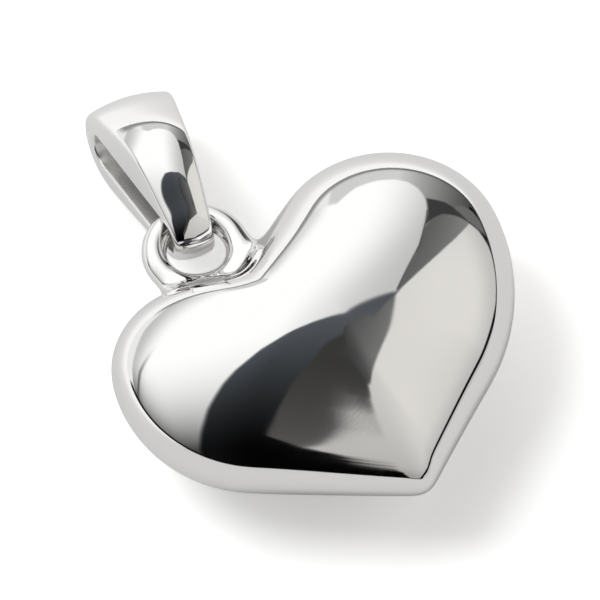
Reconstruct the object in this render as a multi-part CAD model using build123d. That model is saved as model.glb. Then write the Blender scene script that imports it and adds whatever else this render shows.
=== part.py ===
"""A puffed heart pendant of polished silver, lying on its back.

The hollow heart carries a round ring that is soldered to its left shoulder, beside the cleft.
A tapered bail is threaded through the ring and its wide end rests on the surface.
All lengths are in millimetres and angles in degrees.
+Z is up and +Y runs from the heart's tip towards the bail.
"""
from build123d import *
from math import asin, atan2, cos, hypot, pi, radians, sin, sqrt
import os

os.makedirs("parts", exist_ok=True)

# Outline of the heart at its widest level, with the tip at X = 0, Y = 0. Each side runs from the
# tip through a faintly hollow stretch, a flank, a lobe and a shoulder to the cleft.
TIP_RADIUS = 0.55
RIGHT_HOLLOW_RADIUS = 152.0
RIGHT_HOLLOW_ANGLE = -63.65
RIGHT_FLANK_RADIUS = 10.4
RIGHT_LOBE_X = 6.27
RIGHT_LOBE_Y = 10.49
RIGHT_LOBE_RADIUS = 5.2
RIGHT_SHOULDER_RADIUS = 35.2
RIGHT_SHOULDER_ANGLE = 110.6
CLEFT_RADIUS = 0.8
LEFT_SHOULDER_RADIUS = 16.1
LEFT_SHOULDER_ANGLE = 64.4
LEFT_LOBE_X = -3.94
LEFT_LOBE_Y = 11.0
LEFT_LOBE_RADIUS = 4.0
LEFT_FLANK_RADIUS = 6.5
LEFT_HOLLOW_RADIUS = 79.4
LEFT_HOLLOW_ANGLE = -133.2

# Puffed form over that outline: the crown is its highest place, and its level lines are
# ellipses there that turn into the outline towards the rim
HEART_THICKNESS = 8.2
CROWN_X = 1.67
CROWN_Y = 9.05
CROWN_HALF_WIDTH = 10.4
CROWN_HALF_LENGTH = 4.2
FULLNESS = 2.15
OUTLINE_HOLD = 1.56

# Hollow inside the stamped sheet
HEART_WALL = 0.5
HOLLOW_TIP_RADIUS = 0.3

# Ring of round wire, soldered on where the left shoulder heads this way from its centre
RING_ANGLE = 60.8
RING_RADIUS = 1.88
RING_WIRE = 1.13
RING_SINK = 0.35

# Solder that fills the corners between the ring and both shoulders, with hollow ends
SOLDER_RADIUS = 0.45
SOLDER_THICKNESS = 0.9
SOLDER_LAP = 0.05

# Bail: a band bent into a loop, narrow where it holds the ring and wide where the chain goes
BAIL_SPAN = 6.95
BAIL_RING_BEND = 0.76
BAIL_RING_WALL = 0.75
BAIL_RING_WIDTH = 1.6
BAIL_CHAIN_BEND = 0.8
BAIL_CHAIN_WALL = 1.2
BAIL_CHAIN_WIDTH = 4.25
BAIL_OUTER_ROUND = 0.6
BAIL_INNER_ROUND = 0.12

# Where the bail lies: its turn from +Y about the ring, how far the ring's wire stands inside
# the narrow bend, and the gap between the wire and the band that rests on it
BAIL_TURN = 19.2
BAIL_SLACK = 0.7
BAIL_RING_GAP = 0.07

# Fineness of the heart's surface
LEVELS = 19
CAP_ANGLE = 6.0
LOBE_STEPS = 20
STRETCH_STEPS = 10
CORNER_STEPS = 6

HALF_THICKNESS = HEART_THICKNESS / 2
RING_WIRE_RADIUS = RING_WIRE / 2
RING_OUTER = RING_RADIUS + RING_WIRE_RADIUS
BAIL_RING_OUTER = BAIL_RING_BEND + BAIL_RING_WALL
BAIL_CHAIN_OUTER = BAIL_CHAIN_BEND + BAIL_CHAIN_WALL

TIP = (0.0, TIP_RADIUS)
RIGHT_LOBE = (RIGHT_LOBE_X, RIGHT_LOBE_Y)
LEFT_LOBE = (LEFT_LOBE_X, LEFT_LOBE_Y)


def away(start, distance, angle):
    """Point at a distance from the start, towards an angle in degrees."""
    x = start[0] + distance * cos(radians(angle))
    y = start[1] + distance * sin(radians(angle))
    return x, y


def crossing(centre_a, radius_a, centre_b, radius_b, side):
    """One point where two circles cross, to the left (1) or right (-1) of the way from a to b."""
    dx = centre_b[0] - centre_a[0]
    dy = centre_b[1] - centre_a[1]
    gap = hypot(dx, dy)
    along = (radius_a**2 - radius_b**2 + gap**2) / (2 * gap)
    across = side * sqrt(radius_a**2 - along**2)
    x = centre_a[0] + (along * dx - across * dy) / gap
    y = centre_a[1] + (along * dy + across * dx) / gap
    return x, y


def heading(start, end):
    """Angle of the line from start to end, in degrees."""
    return atan2(end[1] - start[1], end[0] - start[0]) * 180 / pi


def arc(centre, radius, start, end, count, turn=1):
    """Points on an arc that turns left (1) or right (-1), up to but without its end."""
    sweep = turn * ((turn * (end - start)) % 360)
    return [away(centre, radius, start + sweep * i / count) for i in range(count)]


right_hollow = away(TIP, TIP_RADIUS + RIGHT_HOLLOW_RADIUS, RIGHT_HOLLOW_ANGLE)
right_flank = crossing(
    right_hollow,
    RIGHT_HOLLOW_RADIUS + RIGHT_FLANK_RADIUS,
    RIGHT_LOBE,
    RIGHT_FLANK_RADIUS - RIGHT_LOBE_RADIUS,
    1,
)
right_shoulder = away(RIGHT_LOBE, RIGHT_LOBE_RADIUS - RIGHT_SHOULDER_RADIUS, RIGHT_SHOULDER_ANGLE)
left_hollow = away(TIP, TIP_RADIUS + LEFT_HOLLOW_RADIUS, LEFT_HOLLOW_ANGLE)
left_flank = crossing(
    left_hollow,
    LEFT_HOLLOW_RADIUS + LEFT_FLANK_RADIUS,
    LEFT_LOBE,
    LEFT_FLANK_RADIUS - LEFT_LOBE_RADIUS,
    -1,
)
left_shoulder = away(LEFT_LOBE, LEFT_LOBE_RADIUS - LEFT_SHOULDER_RADIUS, LEFT_SHOULDER_ANGLE)
cleft = crossing(
    left_shoulder,
    LEFT_SHOULDER_RADIUS + CLEFT_RADIUS,
    right_shoulder,
    RIGHT_SHOULDER_RADIUS + CLEFT_RADIUS,
    1,
)
ring_centre = away(left_shoulder, LEFT_SHOULDER_RADIUS + RING_OUTER - RING_SINK, RING_ANGLE)


def outline(inset, tip_radius):
    """Closed row of points round the heart, set in by a wall, starting at the tip."""
    right_reach = RIGHT_HOLLOW_RADIUS + inset
    left_reach = LEFT_HOLLOW_RADIUS + inset
    tip = crossing(
        right_hollow, right_reach + tip_radius, left_hollow, left_reach + tip_radius, -1
    )
    # centre, radius, start, end and turn of each arc
    arcs = (
        (tip, tip_radius, heading(tip, left_hollow), heading(tip, right_hollow), CORNER_STEPS, 1),
        (
            right_hollow,
            right_reach,
            heading(right_hollow, tip),
            heading(right_hollow, right_flank),
            STRETCH_STEPS,
            -1,
        ),
        (
            right_flank,
            RIGHT_FLANK_RADIUS - inset,
            heading(right_flank, right_hollow),
            heading(right_flank, RIGHT_LOBE),
            STRETCH_STEPS,
            1,
        ),
        (
            RIGHT_LOBE,
            RIGHT_LOBE_RADIUS - inset,
            heading(right_flank, RIGHT_LOBE),
            RIGHT_SHOULDER_ANGLE,
            LOBE_STEPS,
            1,
        ),
        (
            right_shoulder,
            RIGHT_SHOULDER_RADIUS - inset,
            RIGHT_SHOULDER_ANGLE,
            heading(right_shoulder, cleft),
            STRETCH_STEPS,
            1,
        ),
        (
            cleft,
            CLEFT_RADIUS + inset,
            heading(cleft, right_shoulder),
            heading(cleft, left_shoulder),
            CORNER_STEPS,
            -1,
        ),
        (
            left_shoulder,
            LEFT_SHOULDER_RADIUS - inset,
            heading(left_shoulder, cleft),
            LEFT_SHOULDER_ANGLE,
            STRETCH_STEPS,
            1,
        ),
        (
            LEFT_LOBE,
            LEFT_LOBE_RADIUS - inset,
            LEFT_SHOULDER_ANGLE,
            heading(left_flank, LEFT_LOBE),
            LOBE_STEPS,
            1,
        ),
        (
            left_flank,
            LEFT_FLANK_RADIUS - inset,
            heading(left_flank, LEFT_LOBE),
            heading(left_flank, left_hollow),
            STRETCH_STEPS,
            1,
        ),
        (
            left_hollow,
            left_reach,
            heading(left_hollow, left_flank),
            heading(left_hollow, tip),
            STRETCH_STEPS,
            -1,
        ),
    )
    return [point for values in arcs for point in arc(*values)]


def running_length(points):
    """Distance walked along the closed row up to each point and back to the first."""
    walked = [0.0]
    for here, after in zip(points, points[1:] + points[:1]):
        walked.append(walked[-1] + hypot(after[0] - here[0], after[1] - here[1]))
    return walked


def level_point(rim_point, share, inset):
    """Where a rim point goes at the level that keeps this share of the heart's size."""
    dx = rim_point[0] - CROWN_X
    dy = rim_point[1] - CROWN_Y
    angle = atan2(dy, dx)
    hold = share**OUTLINE_HOLD
    x = (1 - hold) * (CROWN_HALF_WIDTH - inset) * cos(angle) + hold * dx
    y = (1 - hold) * (CROWN_HALF_LENGTH - inset) * sin(angle) + hold * dy
    return CROWN_X + share * x, CROWN_Y + share * y


def puffed(inset, tip_radius):
    """Solid heart, set in by a wall on every side, with its widest level at Z = 0."""
    rim = outline(inset, tip_radius)
    walked = running_length(outline(0.0, TIP_RADIUS))
    height = (HALF_THICKNESS - inset) / cos(radians(CAP_ANGLE))
    levels = []
    for i in range(LEVELS):
        angle = radians(CAP_ANGLE + (180 - 2 * CAP_ANGLE) * i / (LEVELS - 1))
        share = sin(angle) ** (2 / FULLNESS)
        z = -height * cos(angle)
        points = [level_point(p, share, inset) + (z,) for p in rim]
        levels.append(Wire([Edge.make_spline(points, periodic=True, parameters=walked)]))
    return Solid.make_loft(levels)


def solder(shoulder, shoulder_radius, lobe, side):
    """Solder in the corner between the ring and the shoulder of one lobe."""
    centre = crossing(
        ring_centre, RING_OUTER + SOLDER_RADIUS, shoulder, shoulder_radius + SOLDER_RADIUS, side
    )
    hollow_end = arc(
        centre,
        SOLDER_RADIUS + SOLDER_LAP,
        heading(centre, ring_centre),
        heading(centre, shoulder),
        CORNER_STEPS,
        turn=side,
    )
    root = away(ring_centre, RING_RADIUS, RING_ANGLE + 180)
    corner = make_face(Polyline(root, *hollow_end, lobe, close=True))
    return extrude(corner, SOLDER_THICKNESS / 2, both=True)


def heart():
    """Hollow heart with its soldered ring, its back on Z = 0."""
    body = puffed(0.0, TIP_RADIUS) + Pos(*ring_centre) * Torus(RING_RADIUS, RING_WIRE_RADIUS)
    body += solder(left_shoulder, LEFT_SHOULDER_RADIUS, LEFT_LOBE, -1)
    body += solder(right_shoulder, RIGHT_SHOULDER_RADIUS, RIGHT_LOBE, 1)
    return Pos(0, 0, HALF_THICKNESS) * (body - puffed(HEART_WALL, HOLLOW_TIP_RADIUS))


def belt(ring_bend, chain_bend):
    """Face inside a belt round two wheels, the ring end's at X = 0."""
    wheels = Circle(ring_bend).edges() + (Pos(BAIL_SPAN, 0) * Circle(chain_bend)).edges()
    return make_hull(wheels)


def bail():
    """Bail by itself, along X from the ring end, with its loop open along Y."""
    half_width = BAIL_CHAIN_WIDTH / 2
    band = extrude(Plane.XZ * belt(BAIL_RING_OUTER, BAIL_CHAIN_OUTER), half_width, both=True)
    chain_end = BAIL_SPAN + BAIL_CHAIN_OUTER
    taper = Polygon(
        (-BAIL_RING_OUTER, -BAIL_RING_WIDTH / 2),
        (chain_end, -half_width),
        (chain_end, half_width),
        (-BAIL_RING_OUTER, BAIL_RING_WIDTH / 2),
        align=None,
    )
    band &= extrude(taper, BAIL_CHAIN_OUTER, both=True)
    band = fillet(band.edges(), BAIL_OUTER_ROUND)
    rounded = band.edges()
    band -= extrude(Plane.XZ * belt(BAIL_RING_BEND, BAIL_CHAIN_BEND), half_width, both=True)
    inner = ShapeList(edge for edge in band.edges() if edge not in rounded)
    return fillet(inner, BAIL_INNER_ROUND)


def bail_place():
    """Plane of the bail where it lies: over the ring's wire and down on the surface."""
    turn = radians(BAIL_TURN)
    flare = (BAIL_CHAIN_BEND - BAIL_RING_BEND) / BAIL_SPAN
    wire_up = BAIL_RING_BEND + flare * BAIL_SLACK - RING_WIRE_RADIUS - BAIL_RING_GAP
    reach = BAIL_SPAN - BAIL_SLACK
    drop = HALF_THICKNESS - BAIL_CHAIN_OUTER
    slope = asin(drop / hypot(reach, wire_up)) - atan2(wire_up, reach)
    out = RING_RADIUS - BAIL_SLACK * cos(slope) - wire_up * sin(slope)
    base = (
        ring_centre[0] + out * sin(turn),
        ring_centre[1] + out * cos(turn),
        HALF_THICKNESS + BAIL_SLACK * sin(slope) - wire_up * cos(slope),
    )
    along = (sin(turn) * cos(slope), cos(turn) * cos(slope), -sin(slope))
    up = (sin(turn) * sin(slope), cos(turn) * sin(slope), cos(slope))
    return Plane(origin=base, x_dir=along, z_dir=up)


place = bail_place()
pieces = {"heart": heart(), "bail": place.location * bail()}
box = Compound([solid for piece in pieces.values() for solid in piece.solids()]).bounding_box()
to_origin = Pos(-box.center().X, -box.center().Y, -box.min.Z)
for name, piece in pieces.items():
    export_step(to_origin * piece, f"parts/{name}.step")

chain_seat = to_origin * place.location * Pos(BAIL_SPAN, 0, 0)
print("chain seat", tuple(chain_seat.position), "across", tuple(place.y_dir))
print("ring centre", tuple((to_origin * Pos(*ring_centre, HALF_THICKNESS)).position))
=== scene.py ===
"""A puffed heart pendant of polished silver that lies on a pale floor, under soft studio light.

Every shape is a surface worked out with numpy, in millimetres, and put into its mesh in metres.
+Z is up and +Y runs from the heart's tip towards the bail.
"""
from math import asin, atan2, cos, hypot, pi, radians, sin

import bpy
import numpy as np
from mathutils import Matrix, Vector


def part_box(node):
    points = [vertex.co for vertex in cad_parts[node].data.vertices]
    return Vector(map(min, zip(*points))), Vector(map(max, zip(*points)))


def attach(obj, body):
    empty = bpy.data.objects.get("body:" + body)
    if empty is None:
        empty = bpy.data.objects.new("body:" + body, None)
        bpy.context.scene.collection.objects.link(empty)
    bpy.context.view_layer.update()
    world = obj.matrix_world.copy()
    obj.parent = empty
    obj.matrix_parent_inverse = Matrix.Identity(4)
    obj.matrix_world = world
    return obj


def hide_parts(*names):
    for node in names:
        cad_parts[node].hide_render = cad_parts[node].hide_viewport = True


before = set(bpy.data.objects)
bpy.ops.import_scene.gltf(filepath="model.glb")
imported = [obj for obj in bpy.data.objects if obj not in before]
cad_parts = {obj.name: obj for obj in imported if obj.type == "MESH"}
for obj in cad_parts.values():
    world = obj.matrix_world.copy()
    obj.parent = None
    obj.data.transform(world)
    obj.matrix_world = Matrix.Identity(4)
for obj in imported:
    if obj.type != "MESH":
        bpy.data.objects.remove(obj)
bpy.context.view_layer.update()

MM = 0.001

# Outline of the heart at its widest level, with its tip beside X = 0, Y = 0. The right side runs
# from the tip through a faintly hollow stretch, a flank, a lobe and a shoulder to the cleft. The
# left side has a long gentle sweep in place of the hollow stretch.
TIP_RADIUS = 0.55
RIGHT_HOLLOW_RADIUS = 152.0
RIGHT_HOLLOW_ANGLE = radians(-63.65)
RIGHT_FLANK_RADIUS = 10.4
RIGHT_LOBE = np.array([6.27, 10.49])
RIGHT_LOBE_RADIUS = 5.2
RIGHT_SHOULDER_RADIUS = 35.2
RIGHT_SHOULDER_ANGLE = radians(110.6)
CLEFT_RADIUS = 0.8
LEFT_SHOULDER_RADIUS = 16.1
LEFT_SHOULDER_ANGLE = radians(64.4)
LEFT_LOBE = np.array([-3.94, 11.0])
LEFT_LOBE_RADIUS = 4.0
LEFT_FLANK_RADIUS = 6.5
LEFT_SWEEP_RADIUS = 300.0
LEFT_SWEEP_ANGLE = radians(-130.0)
OUTLINE_SOFTNESS = 0.35
ARC_STEP = 0.02
FINE_STEPS = 2400
RIM_STEPS = 460
RIM_LEVELS = 161

# Puffed form over that outline
HEART_THICKNESS = 8.2
CROWN = np.array([1.67, 9.05])
CROWN_HALF_WIDTH = 10.4
CROWN_HALF_LENGTH = 4.2
FULLNESS = 2.15
OUTLINE_HOLD = 1.56
HEART_WALL = 0.5
HOLLOW_TIP_RADIUS = 0.3
HOLLOW_STEPS = 120
HOLLOW_LEVELS = 41

# Ring of round wire, soldered on where the left shoulder heads this way from its centre
RING_ANGLE = radians(60.8)
RING_RADIUS = 1.88
RING_WIRE = 1.13
RING_SINK = 0.35
RING_STEPS = 240
WIRE_STEPS = 80

# Solder: how far apart two surfaces still join, how much the join dips under the nearer one, how
# deep inside the other part a point still moves, and how the points search for the join
SOLDER_REACH = 1.2
SOLDER_DIP = 0.3
SOLDER_DEPTH = 0.3
SOLDER_SEARCHES = 5
LONGEST_MOVE = 0.25
LEAST_SLOPE = 0.2
PROBE = 0.002
RING_SIDE_REACH = 3.5
TOO_FAR = 99.0

# Bail: two bends a span apart, each with a wall, a crest on it and a width
BAIL_SPAN = 6.95
BAIL_RING_BEND = 0.76
BAIL_RING_WALL = 0.45
BAIL_RING_WIDTH = 1.8
BAIL_CHAIN_BEND = 0.8
BAIL_CHAIN_WALL = 1.14
BAIL_CHAIN_WIDTH = 4.34
BAIL_ARCH = 1.05
BAIL_ARCH_LEAN = 0.55
BAIL_RING_CREST = 0.23
BAIL_MIDDLE_CREST = 0.12
BAIL_CHAIN_CREST = 0.37
BAIL_UNDER_CREST = 0.1
BAIL_RING_ROUND = 0.29
BAIL_CHAIN_ROUND = 0.36
BAIL_INNER_ROUND = 0.12
BAIL_END_ROUND = 0.9
BAIL_END_NARROWING = 1.8
BAIL_SOFTNESS = 0.75
BAIL_BEND_STEPS = 72
BAIL_STRAP_STEPS = 90
BAIL_STEP = 0.075
FOOT_STEPS = 5
CORNER_STEPS = 10
DOME_STEPS = 40

# How the bail lies in the ring
BAIL_TURN = radians(19.2)
BAIL_SLACK = 0.7
BAIL_RING_GAP = 0.07
BAIL_SEAT = 2.0

HALF_THICKNESS = HEART_THICKNESS / 2
WIRE_RADIUS = RING_WIRE / 2
RING_OUTER = RING_RADIUS + WIRE_RADIUS


def unit(angle):
    """Unit vectors at the angles, in radians from +X."""
    return np.stack([np.cos(angle), np.sin(angle)], -1)


def heading(start, end):
    """Angle of the line from start to end, in radians."""
    return atan2(end[1] - start[1], end[0] - start[0])


def crossing(centre_a, radius_a, centre_b, radius_b, side):
    """One point where two circles cross, to the left (1) or right (-1) of the way from a to b."""
    way = centre_b - centre_a
    gap = hypot(*way)
    along = (radius_a**2 - radius_b**2 + gap**2) / (2 * gap)
    across = side * (radius_a**2 - along**2) ** 0.5
    return centre_a + (along * way + across * np.array([-way[1], way[0]])) / gap


def arc(centre, radius, start, end, turn=1):
    """Closely spaced points on an arc that turns left (1) or right (-1), without its end."""
    sweep = turn * ((turn * (end - start)) % (2 * pi))
    count = int(abs(sweep) * radius / ARC_STEP) + 2
    return centre + radius * unit(start + sweep * np.arange(count) / count)


TIP = np.array([0.0, TIP_RADIUS])
right_hollow = TIP + (TIP_RADIUS + RIGHT_HOLLOW_RADIUS) * unit(RIGHT_HOLLOW_ANGLE)
right_flank = crossing(
    right_hollow,
    RIGHT_HOLLOW_RADIUS + RIGHT_FLANK_RADIUS,
    RIGHT_LOBE,
    RIGHT_FLANK_RADIUS - RIGHT_LOBE_RADIUS,
    1,
)
right_shoulder = RIGHT_LOBE - (RIGHT_SHOULDER_RADIUS - RIGHT_LOBE_RADIUS) * unit(
    RIGHT_SHOULDER_ANGLE
)
left_sweep = TIP - (LEFT_SWEEP_RADIUS - TIP_RADIUS) * unit(LEFT_SWEEP_ANGLE)
left_flank = crossing(
    left_sweep,
    LEFT_SWEEP_RADIUS - LEFT_FLANK_RADIUS,
    LEFT_LOBE,
    LEFT_FLANK_RADIUS - LEFT_LOBE_RADIUS,
    1,
)
left_shoulder = LEFT_LOBE - (LEFT_SHOULDER_RADIUS - LEFT_LOBE_RADIUS) * unit(LEFT_SHOULDER_ANGLE)
cleft = crossing(
    left_shoulder,
    LEFT_SHOULDER_RADIUS + CLEFT_RADIUS,
    right_shoulder,
    RIGHT_SHOULDER_RADIUS + CLEFT_RADIUS,
    1,
)
ring_centre = left_shoulder + (LEFT_SHOULDER_RADIUS + RING_OUTER - RING_SINK) * unit(RING_ANGLE)


def walked(points):
    """Distance walked along a closed row up to each point, and its whole length."""
    steps = np.linalg.norm(np.roll(points, -1, 0) - points, axis=-1)
    return np.concatenate([[0.0], np.cumsum(steps)])


def spaced(points, count):
    """Closed row of so many points at even steps along another one."""
    way = walked(points)
    stops = way[-1] * np.arange(count) / count
    closed = np.vstack([points, points[:1]])
    return np.stack([np.interp(stops, way, closed[:, k]) for k in range(points.shape[1])], -1)


def softened(values, step, softness):
    """Values at even steps round a closed row, blurred by a bell curve: each weight is e to the
    power minus half the square of the distance over the softness."""
    reach = int(4 * softness / step)
    bell = np.exp(-((np.arange(-reach, reach + 1) * step / softness) ** 2) / 2)
    shifted = [w * np.roll(values, k - reach, 0) for k, w in enumerate(bell / bell.sum())]
    return np.sum(shifted, 0)


def heart_outline(count, inset=0.0, tip_radius=TIP_RADIUS):
    """Closed row of points: the tip, the right hollow, flank, lobe and shoulder, the cleft, then
    the left shoulder, lobe, flank and sweep, every one an arc that touches the next, moved
    inwards by the inset."""
    right_reach = RIGHT_HOLLOW_RADIUS + inset
    left_reach = LEFT_SWEEP_RADIUS - inset
    tip = crossing(right_hollow, right_reach + tip_radius, left_sweep, left_reach - tip_radius, 1)
    to_tip, to_flank = heading(right_hollow, tip), heading(right_hollow, right_flank)
    right_turn, left_turn = heading(right_flank, RIGHT_LOBE), heading(left_flank, LEFT_LOBE)
    rows = (
        (tip, tip_radius, heading(left_sweep, tip), heading(tip, right_hollow), 1),
        (right_hollow, right_reach, to_tip, to_flank, -1),
        (right_flank, RIGHT_FLANK_RADIUS - inset, to_flank + pi, right_turn, 1),
        (RIGHT_LOBE, RIGHT_LOBE_RADIUS - inset, right_turn, RIGHT_SHOULDER_ANGLE, 1),
        (
            right_shoulder,
            RIGHT_SHOULDER_RADIUS - inset,
            RIGHT_SHOULDER_ANGLE,
            heading(right_shoulder, cleft),
            1,
        ),
        (
            cleft,
            CLEFT_RADIUS + inset,
            heading(cleft, right_shoulder),
            heading(cleft, left_shoulder),
            -1,
        ),
        (
            left_shoulder,
            LEFT_SHOULDER_RADIUS - inset,
            heading(left_shoulder, cleft),
            LEFT_SHOULDER_ANGLE,
            1,
        ),
        (LEFT_LOBE, LEFT_LOBE_RADIUS - inset, LEFT_SHOULDER_ANGLE, left_turn, 1),
        (
            left_flank,
            LEFT_FLANK_RADIUS - inset,
            left_turn,
            heading(left_sweep, left_flank),
            1,
        ),
        (left_sweep, left_reach, heading(left_sweep, left_flank), heading(left_sweep, tip), 1),
    )
    fine = spaced(np.vstack([arc(*row) for row in rows]), FINE_STEPS)
    fine = softened(fine, walked(fine)[-1] / FINE_STEPS, OUTLINE_SOFTNESS)
    return spaced(fine, count)


def puffed(rim, angle, inset=0.0):
    """Surface over a rim point (columns) and an angle from the front pole (rows).

    The height is the half thickness times the angle's cosine. The share of the heart's size is
    the angle's sine to the power 2 / fullness. A level line goes from an ellipse round the crown
    to the outline, as the share to the power of the hold grows from 0 to 1.
    """
    share = np.sin(angle) ** (2 / FULLNESS)
    hold = share**OUTLINE_HOLD
    away = rim - CROWN
    size = np.array([CROWN_HALF_WIDTH, CROWN_HALF_LENGTH]) - inset
    ellipse = size * unit(np.arctan2(away[..., 1], away[..., 0]))
    flat = CROWN + share[..., None] * ((1 - hold)[..., None] * ellipse + hold[..., None] * away)
    height = HALF_THICKNESS + (HALF_THICKNESS - inset) * np.cos(angle)
    height = np.broadcast_to(height, flat.shape[:-1])
    return np.concatenate([flat, height[..., None]], -1)


def closed_shell(points, inside_out=False):
    """Corners and faces of rows of points that each close on themselves, with the first and the
    last row drawn together to one point."""
    rows, columns = points.shape[:2]
    corners = np.vstack([points[1:-1].reshape(-1, 3), points[0].mean(0), points[-1].mean(0)])
    start = np.arange(rows - 3)[:, None] * columns + np.arange(columns)
    beside = np.arange(rows - 3)[:, None] * columns + (np.arange(columns) + 1) % columns
    quads = np.stack([start, start + columns, beside + columns, beside], -1).reshape(-1, 4)
    here = np.arange(columns)
    after = (here + 1) % columns
    last = (rows - 3) * columns
    top = np.full(columns, (rows - 2) * columns)
    front = np.stack([top, here, after], -1)
    back = np.stack([top + 1, last + after, last + here], -1)
    return corners, quads, np.vstack([front, back]), inside_out


def loop_shell(points, inside_out=False):
    """Corners and faces of a surface that closes on itself along its rows and its columns."""
    rows, columns = points.shape[:2]
    index = np.arange(rows * columns).reshape(rows, columns)
    down = np.roll(index, -1, 0)
    quads = np.stack([index, down, np.roll(down, -1, 1), np.roll(index, -1, 1)], -1).reshape(-1, 4)
    return points.reshape(-1, 3), quads, np.zeros((0, 3), int), inside_out


def mesh_of(name, shells):
    """One smooth mesh of all the shells, given in millimetres."""
    corners, loops, sizes, offset = [], [], [], 0
    for points, quads, triangles, inside_out in shells:
        for faces in (quads, triangles):
            faces = faces[:, ::-1] if inside_out else faces
            loops.append((faces + offset).ravel())
            sizes.append(np.full(len(faces), faces.shape[1]))
        corners.append(points)
        offset += len(points)
    corners, loops, sizes = np.vstack(corners) * MM, np.concatenate(loops), np.concatenate(sizes)
    mesh = bpy.data.meshes.new(name)
    mesh.vertices.add(len(corners))
    mesh.vertices.foreach_set("co", corners.ravel())
    mesh.loops.add(len(loops))
    mesh.loops.foreach_set("vertex_index", loops)
    mesh.polygons.add(len(sizes))
    mesh.polygons.foreach_set("loop_start", np.cumsum(sizes) - sizes)
    mesh.polygons.foreach_set("use_smooth", np.ones(len(sizes), bool))
    mesh.update(calc_edges=True)
    mesh.validate()
    return mesh


def placed(name, mesh, material):
    """The mesh with its material, as an object in the scene."""
    mesh.materials.append(material)
    piece = bpy.data.objects.new(name, mesh)
    bpy.context.scene.collection.objects.link(piece)
    return piece


def ring_tube():
    """Torus: the wire's circle carried round the ring."""
    round_ring = np.linspace(0, 2 * pi, RING_STEPS, endpoint=False)[:, None]
    round_wire = np.linspace(0, 2 * pi, WIRE_STEPS, endpoint=False)[None, :]
    reach = RING_RADIUS + WIRE_RADIUS * np.cos(round_wire)
    x = ring_centre[0] + reach * np.cos(round_ring)
    y = ring_centre[1] + reach * np.sin(round_ring)
    z = HALF_THICKNESS + WIRE_RADIUS * np.sin(round_wire) + 0 * round_ring
    return np.stack([x, y, z], -1)


def off_ring(points):
    """Distance from the ring's surface, negative inside the wire."""
    flat = np.hypot(points[..., 0] - ring_centre[0], points[..., 1] - ring_centre[1])
    return np.hypot(flat - RING_RADIUS, points[..., 2] - HALF_THICKNESS) - WIRE_RADIUS


def off_heart(points, rim):
    """Distance from the heart's surface near the ring, negative inside it: the way from the
    nearest of the level line's points, along the surface's own normal there."""
    level = np.clip((points[:, 2] - HALF_THICKNESS) / HALF_THICKNESS, -0.98, 0.98)
    angle = np.arccos(level)
    here = puffed(rim[None], angle[:, None])
    way = puffed(np.roll(rim, -1, 0)[None], angle[:, None]) - puffed(
        np.roll(rim, 1, 0)[None], angle[:, None]
    )
    gap = np.linalg.norm(here[..., :2] - points[:, None, :2], axis=-1)
    gap[:, [0, -1]] = TOO_FAR
    near = gap.argmin(1)
    rows = np.arange(len(points))
    down = puffed(rim[near], angle + PROBE) - puffed(rim[near], angle - PROBE)
    normal = np.cross(down, way[rows, near])
    normal /= np.linalg.norm(normal, axis=-1, keepdims=True)
    return ((points - here[rows, near]) * normal).sum(-1)


def soldered(points, own, other):
    """Points of one part's surface moved out on to the smooth join with the other part, and just
    under the other part's share of it where that is nearer.

    The join lies where the smaller of the two distances, less a quarter of the reach times the
    square of how near they are to each other, is nought.
    """

    def miss(at):
        mine, theirs = own(at), other(at)
        near = np.maximum(SOLDER_REACH - np.abs(mine - theirs), 0) / SOLDER_REACH
        under = np.maximum(mine - theirs, 0)
        return np.minimum(mine, theirs) - near**2 * SOLDER_REACH / 4 + SOLDER_DIP * under**2

    nudges = np.eye(3) * PROBE
    for _ in range(SOLDER_SEARCHES):
        value = miss(points)
        slope = np.stack([miss(points + n) - miss(points - n) for n in nudges], -1) / (2 * PROBE)
        steepness = np.maximum((slope**2).sum(-1, keepdims=True), LEAST_SLOPE)
        step = value[:, None] * slope / steepness
        points = points - np.clip(step, -LONGEST_MOVE, LONGEST_MOVE)
    return points


def towards(share, ring_value, chain_value):
    """Value at a share of the way from the ring end to the chain end."""
    return ring_value * (1 - share) + chain_value * share


def belt():
    """Closed row round two wheels: the ring end's at X = 0 and the chain end's a span further.
    Gives the points in X and Z, the outward headings and the share of the way to the chain."""
    quarter = pi / 2 + asin((BAIL_CHAIN_BEND - BAIL_RING_BEND) / BAIL_SPAN)
    chain_turn = np.linspace(-quarter, quarter, BAIL_BEND_STEPS)
    ring_turn = np.linspace(quarter, 2 * pi - quarter, BAIL_BEND_STEPS)
    run = np.linspace(0, 1, BAIL_STRAP_STEPS + 1)[1:-1]
    turns = np.concatenate([chain_turn, 0 * run + quarter, ring_turn, 0 * run - quarter])
    share = np.concatenate([0 * chain_turn + 1, 1 - run, 0 * ring_turn, run])
    bend = towards(share, BAIL_RING_BEND, BAIL_CHAIN_BEND)[:, None]
    return np.array([BAIL_SPAN, 0.0]) * share[:, None] + bend * unit(turns), turns, share


def bail_lines():
    """Three closed rows in X and Z round the bail: its inner bend, the outer end of its sides and
    its crest, and the share of the way to the chain.

    The upper strap is arched: its wall grows by the arch times four times the share times what
    is left of it, leaning towards the ring end.
    """
    inner, turns, share = belt()
    out = unit(turns)
    upper = out[:, 1] > 0
    between = 4 * share * (1 - share)
    arch = BAIL_ARCH * between * (1 + BAIL_ARCH_LEAN * (1 - 2 * share))
    wall = towards(share, BAIL_RING_WALL, BAIL_CHAIN_WALL) + np.where(upper, arch, 0)
    crest = towards(share, BAIL_RING_CREST, BAIL_CHAIN_CREST) + BAIL_MIDDLE_CREST * between
    crest = np.where(upper | (share == 0), crest, np.minimum(crest, BAIL_UNDER_CREST))
    sides = inner + out * wall[:, None]
    top = sides + out * crest[:, None]
    sides, top = (softened(row, BAIL_STEP, BAIL_SOFTNESS) for row in (sides, top))
    return inner, sides, top, share


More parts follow.
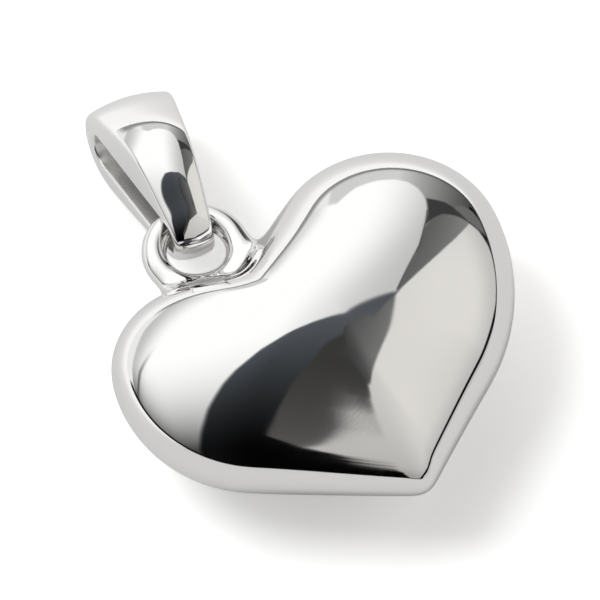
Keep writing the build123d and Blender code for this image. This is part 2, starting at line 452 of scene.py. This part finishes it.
def bail_width(x):
    """Width across the band at X, with the far corners rounded in plan."""
    start = -BAIL_RING_BEND - BAIL_RING_WALL
    end = BAIL_SPAN + BAIL_CHAIN_BEND + BAIL_CHAIN_WALL + BAIL_CHAIN_CREST
    width = towards((x - start) / (end - start), BAIL_RING_WIDTH, BAIL_CHAIN_WIDTH)
    into = np.clip((x - end + BAIL_END_ROUND) / BAIL_END_ROUND, 0, 1)
    return width - BAIL_END_NARROWING * BAIL_END_ROUND * (1 - np.sqrt(1 - into**2))


def bail_band():
    """Bail along X: a section carried round the belt, wider towards the chain end. The section
    has rounded corners and a dome that rises from them to the crest. Gives the points, and 1 on
    the inner face down to 0 on the sides."""
    inner, sides, top, share = bail_lines()
    wall = np.linalg.norm(sides - inner, axis=-1)[:, None]
    crest = np.linalg.norm(top - sides, axis=-1)[:, None]
    half = bail_width(sides[:, 0])[:, None] / 2
    edge = towards(share, BAIL_RING_ROUND, BAIL_CHAIN_ROUND)[:, None]
    edge = np.minimum(np.minimum(edge, 0.95 * half), 0.85 * wall)
    dome = (half**2 + crest**2) / (2 * crest)
    middle = wall + crest - dome
    side = half - edge
    rise = np.sqrt(np.maximum((dome - edge) ** 2 - side**2, 0))
    turn = np.arctan2(rise, side)
    lower = np.radians(np.linspace(-90, 0, FOOT_STEPS))
    step = np.linspace(0, 1, CORNER_STEPS)
    over = np.linspace(0, 1, DOME_STEPS)[1:-1]
    corner_y = side + edge * np.cos(turn * step)
    corner_z = middle + rise + edge * np.sin(turn * step)
    foot_y = half - BAIL_INNER_ROUND * (1 - np.cos(lower))
    foot_z = BAIL_INNER_ROUND * (1 + np.sin(lower)) + 0 * half
    dome_y = dome * np.cos(turn + (pi - 2 * turn) * over)
    dome_z = middle + dome * np.sin(turn + (pi - 2 * turn) * over)
    across = np.hstack([foot_y, corner_y, dome_y, -corner_y[:, ::-1], -foot_y[:, ::-1]])
    level = np.hstack([foot_z, corner_z, dome_z, corner_z[:, ::-1], foot_z[:, ::-1]])
    low = np.minimum(level, wall)[..., None] * ((sides - inner) / wall)[:, None]
    high = np.maximum(level - wall, 0)[..., None] * ((top - sides) / crest)[:, None]
    flat = inner[:, None] + low + high
    across = across * bail_width(flat[..., 0]) / (2 * half)
    inside_face = np.clip(1 - level / BAIL_INNER_ROUND, 0, 1)
    return np.stack([flat[..., 0], across, flat[..., 1]], -1), inside_face


def bail_place(points):
    """Points of the bail moved to where it lies: over the ring's wire and down on the floor."""
    flare = (BAIL_CHAIN_BEND - BAIL_RING_BEND) / BAIL_SPAN
    wire_up = BAIL_RING_BEND + flare * BAIL_SLACK - WIRE_RADIUS - BAIL_RING_GAP
    reach = BAIL_SPAN - BAIL_SLACK
    drop = HALF_THICKNESS - BAIL_SEAT
    slope = asin(drop / hypot(reach, wire_up)) - atan2(wire_up, reach)
    out = RING_RADIUS - BAIL_SLACK * cos(slope) - wire_up * sin(slope)
    side = np.array([sin(BAIL_TURN), cos(BAIL_TURN)])
    height = HALF_THICKNESS + BAIL_SLACK * sin(slope) - wire_up * cos(slope)
    base = np.array([*(ring_centre + out * side), height])
    along = np.array([*(side * cos(slope)), -sin(slope)])
    up = np.array([*(side * sin(slope)), cos(slope)])
    across = np.cross(up, along)
    return base + points @ np.array([along, across, up])


def levels(count):
    """Angles from the front pole to the back one, as a column."""
    return np.linspace(0, pi, count)[:, None]


rim = heart_outline(RIM_STEPS)
heart_low, heart_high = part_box("heart")
to_frame = np.array(
    [
        (heart_low.x + heart_high.x) / 2 / MM - (rim[:, 0].min() + rim[:, 0].max()) / 2,
        heart_low.y / MM,
        0.0,
    ]
)

# The heart's front and back, its hollow, and the ring: all one soldered piece
shell = puffed(rim[None], levels(RIM_LEVELS))
tube = ring_tube()
by_ring = np.linalg.norm(rim - ring_centre, axis=-1) < RING_OUTER + RING_SIDE_REACH
first = np.flatnonzero(by_ring & ~np.roll(by_ring, 1))[0]
ring_side = np.roll(rim, -first, 0)[: by_ring.sum()]


def heart_gap(points):
    """Distance from the heart's outside, by the stretch of its rim beside the ring."""
    return off_heart(points, ring_side)


for surface, own, other in ((tube, off_ring, heart_gap), (shell, heart_gap, off_ring)):
    points = surface.reshape(-1, 3)
    gap = other(points)
    moved = (gap > -SOLDER_DEPTH) & (gap < SOLDER_REACH)
    points[moved] = soldered(points[moved], own, other)
hollow_rim = heart_outline(HOLLOW_STEPS, HEART_WALL, HOLLOW_TIP_RADIUS)
hollow = puffed(hollow_rim[None], levels(HOLLOW_LEVELS), HEART_WALL)

# Silver: its colour, the roughness of its polish, and how much more the bail has inside
SILVER = (0.93, 0.925, 0.915, 1)
CLEAR_ROUGHNESS = 0.025
HAZE_ROUGHNESS = 0.06
INSIDE_HAZE = 0.22
SCRATCH_DEPTH = 0.000002


def new_material(name):
    """A new material with its nodes and links."""
    material = bpy.data.materials.new(name)
    material.use_nodes = True
    return material, material.node_tree.nodes, material.node_tree.links


def new_node(nodes, kind, values):
    """A new node of that kind with those inputs set."""
    made = nodes.new(kind)
    for name, value in values.items():
        made.inputs[name].default_value = value
    return made


def polish():
    """Shared look of high polish: hair-fine scratches and a slight haze that comes and goes."""
    group = bpy.data.node_groups.new("polish", "ShaderNodeTree")
    group.interface.new_socket("Roughness", in_out="OUTPUT", socket_type="NodeSocketFloat")
    group.interface.new_socket("Normal", in_out="OUTPUT", socket_type="NodeSocketVector")
    nodes, links = group.nodes, group.links
    place = nodes.new("ShaderNodeTexCoord")
    haze = new_node(nodes, "ShaderNodeTexNoise", {"Scale": 420.0, "Detail": 3.0})
    links.new(place.outputs["Object"], haze.inputs["Vector"])
    rough = new_node(
        nodes,
        "ShaderNodeMapRange",
        {
            "From Min": 0.35,
            "From Max": 0.75,
            "To Min": CLEAR_ROUGHNESS,
            "To Max": HAZE_ROUGHNESS,
        },
    )
    links.new(haze.outputs["Fac"], rough.inputs["Value"])
    lengthwise = {"Rotation": (0.3, 0.5, 0.8), "Scale": (1.0, 14.0, 14.0)}
    stretch = new_node(nodes, "ShaderNodeMapping", lengthwise)
    links.new(place.outputs["Object"], stretch.inputs["Vector"])
    scratch = new_node(nodes, "ShaderNodeTexNoise", {"Scale": 900.0, "Detail": 2.0})
    links.new(stretch.outputs["Vector"], scratch.inputs["Vector"])
    bump = new_node(nodes, "ShaderNodeBump", {"Strength": 0.04, "Distance": SCRATCH_DEPTH})
    links.new(scratch.outputs["Fac"], bump.inputs["Height"])
    out = nodes.new("NodeGroupOutput")
    links.new(rough.outputs["Result"], out.inputs["Roughness"])
    links.new(bump.outputs["Normal"], out.inputs["Normal"])
    return group


def polished_silver(name, shared, inside_haze=0.0):
    """High polish: a near mirror, with more haze on the faces marked as inside."""
    material, nodes, links = new_material(name)
    shader = nodes["Principled BSDF"]
    shader.inputs["Base Color"].default_value = SILVER
    shader.inputs["Metallic"].default_value = 1
    detail = nodes.new("ShaderNodeGroup")
    detail.node_tree = shared
    mark = nodes.new("ShaderNodeAttribute")
    mark.attribute_name = "inside"
    haze = nodes.new("ShaderNodeMath")
    haze.operation = "MULTIPLY_ADD"
    haze.inputs[1].default_value = inside_haze
    links.new(mark.outputs["Fac"], haze.inputs[0])
    links.new(detail.outputs["Roughness"], haze.inputs[2])
    links.new(haze.outputs[0], shader.inputs["Roughness"])
    links.new(detail.outputs["Normal"], shader.inputs["Normal"])
    return material


silver_polish = polish()
heart_silver = polished_silver("heart_silver", silver_polish)
bail_silver = polished_silver("bail_silver", silver_polish, INSIDE_HAZE)

heart_mesh = mesh_of(
    "heart_polished",
    [
        closed_shell(shell + to_frame),
        closed_shell(hollow + to_frame, inside_out=True),
        loop_shell(tube + to_frame, inside_out=True),
    ],
)
heart = placed("heart_polished", heart_mesh, heart_silver)
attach(heart, "root")
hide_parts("heart")

band, band_inside = bail_band()
bail_mesh = mesh_of("bail_polished", [loop_shell(bail_place(band) + to_frame)])
worn = bail_mesh.attributes.new("inside", "FLOAT", "POINT")
worn.data.foreach_set("value", band_inside.astype(np.float32).ravel())
bail = placed("bail_polished", bail_mesh, bail_silver)
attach(bail, "root")
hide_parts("bail")

# Camera at the photograph's angle
CAMERA_AIM = np.array([0.0818, -1.717, 4.1])
CAMERA_AZIMUTH = radians(-40.011)
CAMERA_ELEVATION = radians(57.468)
CAMERA_ROLL = radians(1.17)
CAMERA_DISTANCE = 305.01
CAMERA_LENS = 413.82


def make_camera():
    """Camera that looks at its aim from its azimuth and elevation, leaning by its roll."""
    turn, rise, roll = CAMERA_AZIMUTH, CAMERA_ELEVATION, CAMERA_ROLL
    back = Vector((sin(turn) * cos(rise), -cos(turn) * cos(rise), sin(rise)))
    right = Vector((cos(turn), sin(turn), 0))
    up = back.cross(right)
    right, up = right * cos(roll) + up * sin(roll), up * cos(roll) - right * sin(roll)
    data = bpy.data.cameras.new("camera")
    data.lens = CAMERA_LENS
    data.clip_start, data.clip_end = 0.01, 20
    camera = bpy.data.objects.new("camera", data)
    camera.matrix_world = Matrix.Translation(
        Vector(CAMERA_AIM * MM) + back * CAMERA_DISTANCE * MM
    ) @ Matrix((right, up, back)).transposed().to_4x4()
    bpy.context.scene.collection.objects.link(camera)
    bpy.context.scene.camera = camera


# The studio is a dome round the object. Its lights, boards and gaps are outlines on a chart of
# the sky, painted one over the other in tones from 0 to 255 as a screen shows them. A chart
# point's distance from the middle is its angle from the zenith, in degrees.
DOME_RADIUS = 1.3
DOME_TURN = radians(-42.2)
DOME_RINGS = 240
RIM_RINGS = 20
DOME_SPOKES = 720
SILVER_SHARE = 0.92


def light_of(tone):
    """Light that the silver shows as this tone: the screen's curve undone, over what the silver
    gives back."""
    share = np.asarray(tone, float) / 255
    return ((share + 0.055) / 1.055) ** 2.4 / SILVER_SHARE


def sky(chart):
    """Directions of chart points, as unit vectors."""
    from_zenith = np.radians(np.hypot(chart[..., 0], chart[..., 1]))
    around = np.arctan2(chart[..., 0], chart[..., 1]) - DOME_TURN
    level = np.sin(from_zenith)
    return np.stack([level * np.sin(around), level * np.cos(around), np.cos(from_zenith)], -1)


def ramp(value, start, end):
    """Smooth rise from 0 at start to 1 at end: three squares less two cubes of the share."""
    t = np.clip((value - start) / (end - start), 0, 1)
    return t * t * (3 - 2 * t)


def blend(value, *stops):
    """Tone along a row of stops, each a place and its tone."""
    places, tones = zip(*stops)
    return np.interp(value, places, tones)


def beside(chart, here, after):
    """Distance of chart points from the line between two corners."""
    way = after - here
    along = np.clip(((chart - here) @ way) / (way @ way), 0, 1)
    return np.linalg.norm(chart - here - along[:, None] * way, axis=-1)


def inside(chart, corners, soft):
    """Share from 0 to 1 inside an outline whose edge is so many degrees soft."""
    corners = np.array(corners, float)
    nearest = np.full(len(chart), np.inf)
    within = np.zeros(len(chart), bool)
    for here, after in zip(corners, np.roll(corners, -1, 0)):
        nearest = np.minimum(nearest, beside(chart, here, after))
        if here[1] != after[1]:
            crosses = (here[1] > chart[:, 1]) != (after[1] > chart[:, 1])
            slant = (after[0] - here[0]) / (after[1] - here[1])
            where = here[0] + (chart[:, 1] - here[1]) * slant
            within ^= crosses & (chart[:, 0] < where)
    return ramp(np.where(within, nearest, -nearest), -soft / 2, soft / 2)


def streak(chart, points, width, soft):
    """Share from 0 to 1 along an open row of points, so many degrees wide."""
    points = np.array(points, float)
    nearest = np.min([beside(chart, *ends) for ends in zip(points, points[1:])], 0)
    return ramp(nearest, width / 2 + soft / 2, width / 2 - soft / 2)


SOFT_BOX = (
    (-24.5, 73.3), (-17, 77.6), (-9.5, 79.1), (-2, 79.3), (4.3, 77.6), (9.3, 73.9), (12.4, 70.1),
    (14.9, 66.4), (18, 58.9), (20.5, 50.8), (22.4, 42), (23.6, 32), (24.5, 22), (24.5, 17),
    (22.4, 13.5), (18, 14.5), (10, -8), (-5, -60), (-40, -90), (-60, -66), (-78, -43),
    (-88, -15), (-88.5, -4), (-84.5, 11), (-79.5, 22), (-69.5, 39.5), (-60.8, 55.8), (-42, 78),
)
BLACK = (
    (14.3, 16.2), (7.4, 13.8), (1.1, 12.2), (-7.9, 8.6), (-16, 0.8), (-20.5, -6), (-24.2, -13.9),
    (-28.5, -23), (-32.4, -34.3), (-36.8, -45), (-40.9, -56.8), (-45, -67), (-45, -85),
    (0, -110), (50, -100), (50, -10), (40, 16.5),
)
STRIP = (
    (12, 11), (10.1, 5.9), (8.5, -1.6), (6, -11.5), (3.9, -24.2), (2.3, -39.5), (1.9, -45),
    (4.1, -50.5), (5.4, -55.6), (6.6, -57.1), (30, -57.1), (30, 12),
)
PANEL = (
    (24.9, 15.5), (47.4, 58.5), (55.5, 58.9), (65.5, 56.4), (71.8, 52), (76.1, 45.8),
    (79.3, 38.3), (81.1, 27), (81.1, 10), (80, -4), (75, -21), (68, -34), (61, -45), (53, -56),
    (46, -69), (38, -79), (22, -86), (11.8, -87), (9, -81), (7, -71), (7, -57.1), (5.9, -54.6),
    (5.4, -53), (6.6, -47.8), (7.9, -38.9), (9, -29.7), (9.85, -20), (10.9, -12), (12.6, -5.6),
    (20, 3), (27.4, 10.7),
)
WEDGE = (
    (24.9, 15.5), (24, 32), (21.5, 47), (23.6, 54.5), (28, 57), (39.3, 58.5), (47.4, 58.5),
)
SLATE = (
    (14.9, 67.3), (26.8, 66.4), (39.3, 62), (46.8, 59.3), (39.3, 58.5), (28, 57), (23.6, 53.9),
    (21.1, 49.5), (19.3, 57), (16.8, 63.3),
)
GREY_CORNER = (
    (17.5, 14.2), (22.3, 13), (24.4, 15.3), (27.4, 10.7), (20, 3), (12.6, -5.6), (11.2, 2),
    (11.4, 9), (13.6, 12.6),
)
FAR_SHAPE = (
    (34.3, 65.8), (39.3, 68.3), (49.3, 69.5), (58, 67.6), (64, 62), (55.5, 59.5), (46.8, 59.3),
    (35.5, 62.6),
)
RIGHT_GAP = (
    (47.4, 58.5), (58, 59.5), (68, 56.4), (73.6, 52), (78.6, 44.5), (81.7, 35.8), (82.6, 22),
    (82.6, 7), (81.5, -3), (77, -20), (70, -33), (63, -45), (55, -56), (48, -70), (39, -80),
    (8, -96), (8, -100), (30, -90), (45, -80), (54, -70), (61, -57), (69, -46), (76, -34),
    (82, -20), (86, -3), (86.3, 9.5), (86.3, 22), (85, 37), (81.8, 47), (76, 56.8), (71, 61),
    (62, 66), (50, 72), (46, 72),
)
BEHIND = ((-30, 100), (-30, 70), (20, 40), (60, 40), (100, 10), (120, 60), (60, 120))
CHORD = ((-84.5, 11.0), (-42.0, 78.0))
BOX_SEAM = ((18, 59), (20.5, 50.8), (23.4, 38), (24.7, 17))
LEFT_STREAK = ((-53, 34.5), (-62, 25), (-72, 16), (-79.5, 6), (-88, -5))

# Tones and tints of what is painted, and tones that change with the place on the chart
WALL_TONE = 232.0
RIGHT_WALL_TONE = 188.0
GAP_TONE = 8.0
PANEL_TONE = 220.0
SLATE_TONE = 58.0
FAR_SHAPE_TONE = 104.0
SEAM_TONE = 64.0
STREAK_TONE = 80.0
PLAIN = (1.0, 1.0, 1.0)
COOL = (0.95, 1.0, 1.06)
WARM = (1.0, 0.99, 0.975)
FAINTLY_WARM = (1.0, 0.99, 0.98)
BOX_TONE = 254.0
BOX_RIGHT_TONE = 190.0
BOX_LEAST_TONE = 45.0
BOX_LOW_START = 20.0
BOX_LOW_FALL = 0.45
BOX_LOW_BEND = 0.019
BOX_LEFT_START = 55.0
BOX_LEFT_BEND = 0.085
CHORD_LOSS = 62
BLACK_TONE = 82.0
BLACK_START = -68.0
BLACK_REACH = 80.0
BLACK_CURVE = 1.6
BLACK_LEFT_GAIN = 14.0
BLACK_LEFT_REACH = 30.0
BACK_TONE = 205.0
BACK_FALL = 45.0
STRIP_TONES = ((-55, 85), (0, 55))
WEDGE_TONES = ((22, 90), (47, 130))
CORNER_TONES = ((10, 60), (26, 110))
TOP_LINE_TONES = ((-30, 140), (50, 60))
BLACK_SOFTNESS = ((-60, 7), (-30, 5), (0, 3), (10, 1.2))
PANEL_SOFTNESS = ((9, 0.25), (14, 1.2))


def studio(chart):
    """Tone of the studio at chart points, in red, green and blue."""
    x, y = chart[:, 0], chart[:, 1]
    out = np.hypot(x, y)
    tones = np.full((len(chart), 3), WALL_TONE)

    def paint(share, tone, tint=PLAIN):
        tones[:] += share[:, None] * (np.asarray(tone)[..., None] * np.array(tint) - tones)

    paint(inside(chart, BEHIND, 2.0), back_tone(x))
    paint(ramp(x, 40, 50) * ramp(-y, -45, -30), RIGHT_WALL_TONE)
    paint(inside(chart, SOFT_BOX, 1.0), main_tone(x, y))
    paint(inside(chart, BLACK, blend(y, *BLACK_SOFTNESS)), black_tone(x, y), COOL)
    paint(inside(chart, STRIP, 0.4), blend(y, *STRIP_TONES), FAINTLY_WARM)
    paint(inside(chart, RIGHT_GAP, 1.5), GAP_TONE)
    paint(inside(chart, PANEL, blend(x, *PANEL_SOFTNESS)), panel_tone(x, y), WARM)
    paint(inside(chart, WEDGE, 1.0), blend(x, *WEDGE_TONES))
    paint(inside(chart, SLATE, 1.2), SLATE_TONE)
    paint(inside(chart, FAR_SHAPE, 2.0), FAR_SHAPE_TONE)
    paint(inside(chart, GREY_CORNER, 1.0), blend(x, *CORNER_TONES))
    paint(streak(chart, BOX_SEAM, 0.6, 0.7), SEAM_TONE)
    paint(streak(chart, LEFT_STREAK, 2.0, 3.0) * ramp(-x, 52, 80), STREAK_TONE)
    left_rim = ramp(out, 86.2, 87.6) * ramp(-y - 0.12 * x, -6, 4) * ramp(-x, -12, -8)
    paint(left_rim, GAP_TONE)
    top_rim = ramp(out, blend(x, (-40, 85), (-10, 87)), 88.6)
    paint(top_rim * ramp(y, 40, 62) * ramp(x, -55, -45), blend(x, *TOP_LINE_TONES))
    return tones


def main_tone(x, y):
    """Tone of the soft box: white in the middle, greyer to the right, low down in front, on the
    far left and towards the chord that cuts its left side."""
    right = BOX_TONE - (BOX_TONE - BOX_RIGHT_TONE) * ramp(x, -10, 26)
    drop = np.maximum(BOX_LOW_START - y, 0)
    low = np.maximum(BOX_TONE - BOX_LOW_FALL * drop - BOX_LOW_BEND * drop**2, BOX_LEAST_TONE)
    left = BOX_LEFT_BEND * np.maximum(-x - BOX_LEFT_START, 0) ** 2 * ramp(-y, -30, 0)
    (x0, y0), (x1, y1) = CHORD
    within = ((x - x0) * (y1 - y0) - (y - y0) * (x1 - x0)) / hypot(x1 - x0, y1 - y0)
    return np.minimum(right, low) - left - CHORD_LOSS * ramp(within, 16, -2)


def black_tone(x, y):
    """Tone of the dark gap between soft box and panel: slate near the zenith, then black."""
    share = np.clip((y - BLACK_START) / BLACK_REACH, 0, 1)
    left = BLACK_LEFT_GAIN * np.clip(-x / BLACK_LEFT_REACH, 0, 1)
    return BLACK_TONE * share**BLACK_CURVE + left


def panel_tone(x, y):
    """Tone of the side panel: palest in its upper middle, greyer beyond a faint fold and near
    the floor."""
    far = np.maximum(np.hypot(x - 48, y - 20) - 10, 0)
    fold = ramp(-y, -10, -4)
    low = ramp(np.hypot(x, y), 62, 84)
    return PANEL_TONE - 0.38 * far - 8 * fold - 18 * low


def back_tone(x):
    """Tone beyond the soft box, low over the floor: grey, and darker to the right."""
    return BACK_TONE * np.exp(-np.maximum(x, 0) / BACK_FALL)


def light_dome():
    """The studio as one glowing dome that only reflections and the light on the floor see."""
    reach = np.concatenate([np.linspace(0.3, 84, DOME_RINGS), np.linspace(84.3, 90, RIM_RINGS)])
    spokes = np.linspace(0, 2 * pi, DOME_SPOKES, endpoint=False)
    chart = reach[:, None, None] * unit(spokes)[None]
    points = sky(chart) * DOME_RADIUS / MM
    rows, columns = chart.shape[:2]
    corners = points.reshape(-1, 3)
    index = np.arange(rows * columns).reshape(rows, columns)
    quads = np.stack(
        [index[:-1], index[1:], np.roll(index[1:], -1, 1), np.roll(index[:-1], -1, 1)], -1
    ).reshape(-1, 4)
    mesh = mesh_of("light_dome", [(corners, quads, np.zeros((0, 3), int), False)])
    light = np.ones((len(corners), 4))
    light[:, :3] = light_of(studio(chart.reshape(-1, 2)))
    attribute = mesh.attributes.new("light", "FLOAT_COLOR", "POINT")
    attribute.data.foreach_set("color", light.astype(np.float32).ravel())
    material, nodes, links = new_material("studio_light")
    nodes.clear()
    source = nodes.new("ShaderNodeAttribute")
    source.attribute_name = "light"
    emission = nodes.new("ShaderNodeEmission")
    out = nodes.new("ShaderNodeOutputMaterial")
    links.new(source.outputs["Color"], emission.inputs["Color"])
    links.new(emission.outputs[0], out.inputs["Surface"])
    dome = placed("light_dome", mesh, material)
    dome.visible_camera = False
    dome.visible_shadow = False


def surroundings():
    """White beyond the floor for the camera, near black for everything else."""
    world = bpy.data.worlds.new("world")
    bpy.context.scene.world = world
    world.use_nodes = True
    nodes, links = world.node_tree.nodes, world.node_tree.links
    background = nodes["Background"]
    background.inputs["Color"].default_value = (0.012, 0.013, 0.015, 1)
    seen = new_node(nodes, "ShaderNodeBackground", {"Color": (1, 1, 1, 1)})
    mixed = nodes.new("ShaderNodeMixShader")
    path = nodes.new("ShaderNodeLightPath")
    links.new(path.outputs["Is Camera Ray"], mixed.inputs["Fac"])
    links.new(background.outputs[0], mixed.inputs[1])
    links.new(seen.outputs[0], mixed.inputs[2])
    links.new(mixed.outputs[0], nodes["World Output"].inputs["Surface"])


# Floor: its tone and glow in the silver, near and beyond the bail, and in the picture
FLOOR_EDGE = 4.0
FLOOR_TONE = 0.68
FLOOR_GLOW = 0.09
FLOOR_FAR_GLOW = 0.4
FLOOR_FAR = 0.06
FLOOR_FAR_WAY = (-0.12, 0.99, 0)
FLOOR_SEEN = 1.3
FLOOR_LIFT = 0.2

# Lamp for the shadow
SUN_STRENGTH = 1.1
SUN_WIDTH = radians(32)
SUN_PLACE = (-0.36, 0.5, 0.79)


def floor():
    """Matt white floor. The silver sees it brighter beyond the bail, and the camera sees it with
    its shadows lifted."""
    edge = FLOOR_EDGE
    mesh = bpy.data.meshes.new("floor")
    corners = [(-edge, -edge, 0), (edge, -edge, 0), (edge, edge, 0), (-edge, edge, 0)]
    mesh.from_pydata(corners, [], [(0, 1, 2, 3)])
    material, nodes, links = new_material("floor")
    shader = nodes["Principled BSDF"]
    shader.inputs["Roughness"].default_value = 0.9
    shader.inputs["Specular IOR Level"].default_value = 0.0
    shader.inputs["Emission Color"].default_value = (1, 1, 1, 1)
    path = nodes.new("ShaderNodeLightPath")
    tone = nodes.new("ShaderNodeMix")
    tone.data_type = "RGBA"
    tone.inputs["A"].default_value = (FLOOR_TONE, FLOOR_TONE, FLOOR_TONE, 1)
    tone.inputs["B"].default_value = (FLOOR_SEEN, FLOOR_SEEN, FLOOR_SEEN, 1)
    links.new(path.outputs["Is Camera Ray"], tone.inputs["Factor"])
    links.new(tone.outputs["Result"], shader.inputs["Base Color"])
    place = nodes.new("ShaderNodeTexCoord")
    along = nodes.new("ShaderNodeVectorMath")
    along.operation = "DOT_PRODUCT"
    along.inputs[1].default_value = FLOOR_FAR_WAY
    links.new(place.outputs["Object"], along.inputs[0])
    glow = nodes.new("ShaderNodeMapRange")
    glow.interpolation_type = "SMOOTHSTEP"
    glow.inputs["From Min"].default_value = 0.0
    glow.inputs["From Max"].default_value = FLOOR_FAR
    glow.inputs["To Min"].default_value = FLOOR_GLOW
    glow.inputs["To Max"].default_value = FLOOR_FAR_GLOW
    links.new(along.outputs["Value"], glow.inputs["Value"])
    lift = nodes.new("ShaderNodeMix")
    lift.inputs["B"].default_value = FLOOR_LIFT
    links.new(path.outputs["Is Camera Ray"], lift.inputs["Factor"])
    links.new(glow.outputs["Result"], lift.inputs["A"])
    links.new(lift.outputs["Result"], shader.inputs["Emission Strength"])
    placed("floor", mesh, material)


def soft_sun():
    """Wide soft lamp from beyond the bail, which throws the shadow past the tip. The silver does
    not mirror it."""
    lamp = bpy.data.lights.new("soft_sun", "SUN")
    lamp.energy = SUN_STRENGTH
    lamp.angle = SUN_WIDTH
    sun = bpy.data.objects.new("soft_sun", lamp)
    bpy.context.collection.objects.link(sun)
    sun.rotation_euler = Vector(SUN_PLACE).to_track_quat("Z", "Y").to_euler()
    sun.visible_glossy = False


light_dome()
surroundings()
floor()
soft_sun()
make_camera()
bpy.context.scene.view_settings.view_transform = "Standard"
